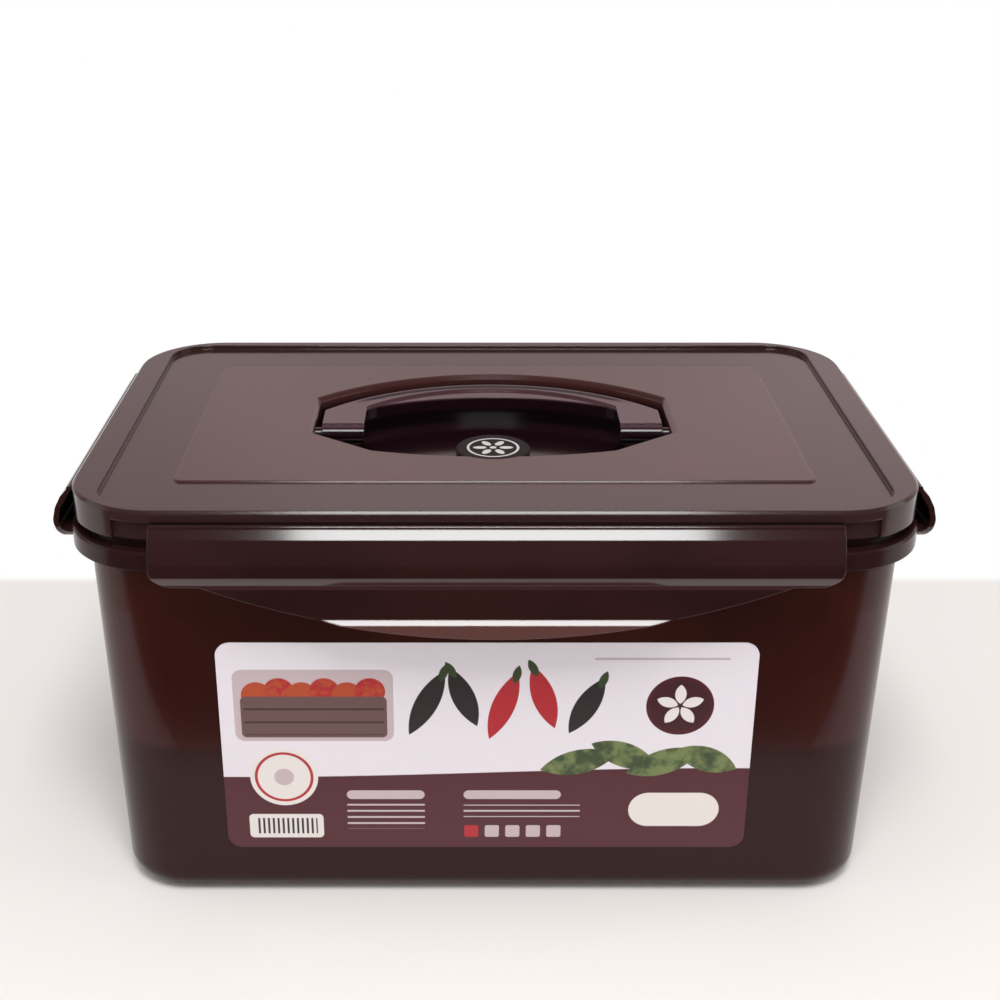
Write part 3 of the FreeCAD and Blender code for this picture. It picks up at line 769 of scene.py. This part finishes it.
    def _crate(self, graph: Graph, sheet: Print) -> List[Layer]:
        """Picture field at the left with a crate of round fruit, and a ringed plate below it.

        Args:
            graph: Graph of the material.
            sheet: Masks of the print.

        Returns:
            Masks with their colours, the lowest first.
        """
        mottled = graph.noise(*self.ripe_mottle).ramp(*self.ripe_mottle_step)
        ripe = graph.blend(mottled, self.food, self.red)
        layers: List[Layer] = [(sheet.plate(-52, 15.0, 24, 12.5, 3.0), self.pale)]
        for i in range(self.fruits):
            odd = i % 2
            fruit = sheet.disc(-69 + self.fruit_pitch * i, 18.6 + 1.4 * odd, self.fruit_radius)
            layers.append((fruit, ripe if odd else self.food))
        gaps = sheet.bars(sheet.v, *self.crate_rows)
        layers += [(sheet.plate(-52, 11.0, 22, 7.2, 1.6), self.crate),
                   (gaps * sheet.plate(-52, 11.0, 21, 6.4, 0.4), self.crate_gap)]
        for radius, ink in [(10.4, self.dish), (9.0, self.red), (8.1, self.dish), (3.0, self.pale)]:
            layers.append((sheet.disc(*self.plate_at, radius), ink))
        return layers


@dataclass(frozen=True)
class Dressing:
    """A sub-assembly of CAD nodes that share one finish."""

    title: str
    nodes: Sequence[str]
    finish: Plastic

    def dress(self, frame: Dict[str, Any]) -> None:
        """Give the finish to the sub-assembly's nodes.
        """
        material = self.finish.material()
        for name in self.nodes:
            mesh = frame["nodes"][name].data
            mesh.materials.clear()
            mesh.materials.append(material)
        log.info("%s: %s", self.title, ", ".join(self.nodes))


@dataclass(frozen=True)
class Softbox:
    """Rectangular lamp; glossy surfaces show it unless mirrored is off."""

    name: str
    place: Place
    size: Pair
    radiance: float
    mirrored: bool = True

    def hang(self, aim: Place) -> None:
        """Add the lamp to the scene.

        Args:
            aim: Point that its face is turned to.
        """
        data = bpy.data.lights.new(self.name, "AREA")
        data.shape = "RECTANGLE"
        data.size, data.size_y = self.size
        data.energy = self.radiance * math.pi * self.size[0] * self.size[1]
        made = bpy.data.objects.new(self.name, data)
        bpy.context.scene.collection.objects.link(made)
        made.location = self.place
        made.visible_glossy = self.mirrored
        way = Vector(aim) - Vector(self.place)
        made.rotation_euler = way.to_track_quat("-Z", "Y").to_euler()


@dataclass(frozen=True)
class Stage:
    """Pale table, white surroundings and soft lights."""

    half: float = 3.0
    top: float = -0.2 * MM
    back_edge: float = 0.156
    back_soft: float = 4 * MM
    front_edge: float = -0.153
    front_soft: float = 6 * MM
    table: Colour = linear(238, 233, 230)
    table_roughness: float = 0.6
    table_specular: float = 0.25
    front_tint: Colour = (1.0, 0.9, 0.85)
    front_strength: float = 0.03
    mirrored_white: Colour = (1.0, 0.80, 0.81)
    ambient: float = 0.53
    mirrored_dark: float = 0.10
    mirrored_step: Pair = (0.1, 0.8)
    far_step: Pair = (0.925, 0.955)
    far_dimmed: float = 0.36
    left_step: Pair = (-0.06, -0.2)
    left_dimmed: float = 0.26
    aim: Place = (0.0, -0.03, 0.10)
    lamps: Tuple[Softbox, ...] = (
        Softbox("softbox_front", (0.0225, -0.59, 1.11), (0.41, 0.44), 15.8),
        Softbox("fill_front", (0.0, -1.05, 0.42), (1.0, 0.3), 1.6, mirrored=False),
        Softbox("panel_left", (-1.1, -0.1, 0.5), (0.8, 0.8), 0.9),
        Softbox("panel_right", (1.1, -0.1, 0.5), (0.8, 0.8), 1.4),
    )

    def _floor(self) -> None:
        """Table top, which runs out to white behind and is dark to reflections in front."""
        mesh = bpy.data.meshes.new("floor")
        h = self.half
        corners = [(x, y, self.top) for x, y in ((-h, -h), (h, -h), (h, h), (-h, h))]
        mesh.from_pydata(corners, [], [(0, 1, 2, 3)])
        made = bpy.data.objects.new("floor", mesh)
        bpy.context.scene.collection.objects.link(made)
        made.data.materials.append(self._floor_material())

    def _floor_material(self) -> bpy.types.Material:
        """Pale matt top with its back and front edges.

        Returns:
            The new material.
        """
        made = bpy.data.materials.new("pale_table")
        made.use_nodes = True
        graph = Graph(made.node_tree)
        _, y, _ = graph.place()
        camera, glossy = graph.rays()
        behind = y.above(self.back_edge, self.back_soft) * camera.most(glossy)
        before = y.below(self.front_edge, self.front_soft) * glossy
        shader = graph.node("ShaderNodeBsdfPrincipled", {}, {
            "Base Color": opaque(self.table), "Roughness": self.table_roughness,
            "Specular IOR Level": self.table_specular})
        for mask, tint, strength in [(behind, WHITE, 1.0),
                                     (before, self.front_tint, self.front_strength)]:
            glow = graph.node("ShaderNodeEmission", {},
                              {"Color": opaque(tint), "Strength": strength})
            shader = graph.node("ShaderNodeMixShader", {},
                                {0: mask, 1: shader.outputs[0], 2: glow.outputs[0]})
        graph.finish("ShaderNodeOutputMaterial", shader)
        return made

    def _world(self) -> None:
        """White to the camera and behind the object, dim in front of it for reflections."""
        made = bpy.data.worlds.new("studio")
        made.use_nodes = True
        bpy.context.scene.world = made
        graph = Graph(made.node_tree)
        x, y, _ = graph.parts(graph.where("Generated"))
        camera, glossy = graph.rays()
        dimmed = 1 - (y.ramp(*self.far_step) * self.far_dimmed).most(
            x.ramp(*self.left_step) * self.left_dimmed)
        mirrored = self.mirrored_dark \
            + y.ramp(*self.mirrored_step) * dimmed * (1.0 - self.mirrored_dark)
        strength = self.ambient + camera * (1.0 - self.ambient) + glossy * (mirrored - self.ambient)
        colour = graph.blend(glossy, WHITE, self.mirrored_white)
        back = graph.node("ShaderNodeBackground", {}, {"Color": colour, "Strength": strength})
        graph.finish("ShaderNodeOutputWorld", back)

    def build(self) -> None:
        """Make the floor, the world and the lamps."""
        self._floor()
        self._world()
        for lamp in self.lamps:
            lamp.hang(self.aim)
        log.info("stage: floor, surroundings and %d lamps", len(self.lamps))


@dataclass(frozen=True)
class Camera:
    """The photograph's camera. Lens and sensor are in millimetres."""

    lens: float = 57.13
    sensor: float = 36.0
    pitch: float = 22.844
    place: Place = (-0.0087, -0.4902, 0.3112)
    shift: float = 0.0345

    def build(self) -> None:
        """Add the camera and make it the scene's."""
        data = bpy.data.cameras.new("camera")
        data.lens, data.sensor_width, data.shift_x = self.lens, self.sensor, self.shift
        made = bpy.data.objects.new("camera", data)
        bpy.context.scene.collection.objects.link(made)
        made.location = self.place
        made.rotation_euler = (math.radians(90 - self.pitch), 0.0, 0.0)
        bpy.context.scene.camera = made


@dataclass
class Keeper:
    """The whole container: its sub-assemblies in order."""

    parts: List[Dressing] = field(default_factory=list)

    def _plan(self) -> None:
        """List the sub-assemblies with their finishes."""
        low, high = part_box("front_label")
        tub = TubPlastic(name="tub_brown", colour=linear(57, 24, 18), shade=linear(47, 18, 15),
                         roughness=0.2, specular=0.22)
        film = LabelFilm(name="label_print", centre=((low.x + high.x) / 2, (low.z + high.z) / 2),
                         roughness=0.35, edge=0.2 * MM)
        lid = LidPlastic(name="lid_brown", colour=linear(68, 39, 40), shade=linear(64, 41, 37),
                         roughness=0.14, specular=0.42, edge=0.8 * MM)
        latch = LatchPlastic(name="latch_brown", colour=linear(44, 22, 21),
                             shade=linear(38, 17, 18), roughness=0.09, specular=0.62, grain=0.0)
        handle = HandlePlastic(name="handle_brown", colour=linear(70, 45, 52),
                               shade=linear(62, 38, 45), roughness=0.1, specular=0.36)
        rubber = Silicone(name="silicone", colour=linear(206, 202, 198),
                          shade=linear(196, 192, 187))
        press = Plastic(name="press_brown", colour=linear(66, 32, 30), shade=linear(58, 27, 26),
                        roughness=0.3)
        self.parts = [
            Dressing("tub", ["tub"], tub),
            Dressing("label", ["front_label"], film),
            Dressing("lid", ["lid"], lid),
            Dressing("latches", ["front_latch", "back_latch", "left_latch", "right_latch"], latch),
            Dressing("carry handle", ["carry_handle"], handle),
            Dressing("seals", ["lid_gasket", "press_seal"], rubber),
            Dressing("press", ["press_plate", "press_handle", "air_valve"], press),
        ]

    def build(self, frame: Dict[str, Any]) -> None:
        """Dress every sub-assembly.
        """
        self._plan()
        for part in self.parts:
            part.dress(frame)


def main() -> None:
    """Build the scene in order."""
    logging.basicConfig(level=logging.INFO, format="%(message)s")
    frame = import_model()
    Camera().build()
    Stage().build()
    Keeper().build(frame)
    bpy.context.scene.view_settings.view_transform = "Standard"


if __name__ == "__main__":
    main()
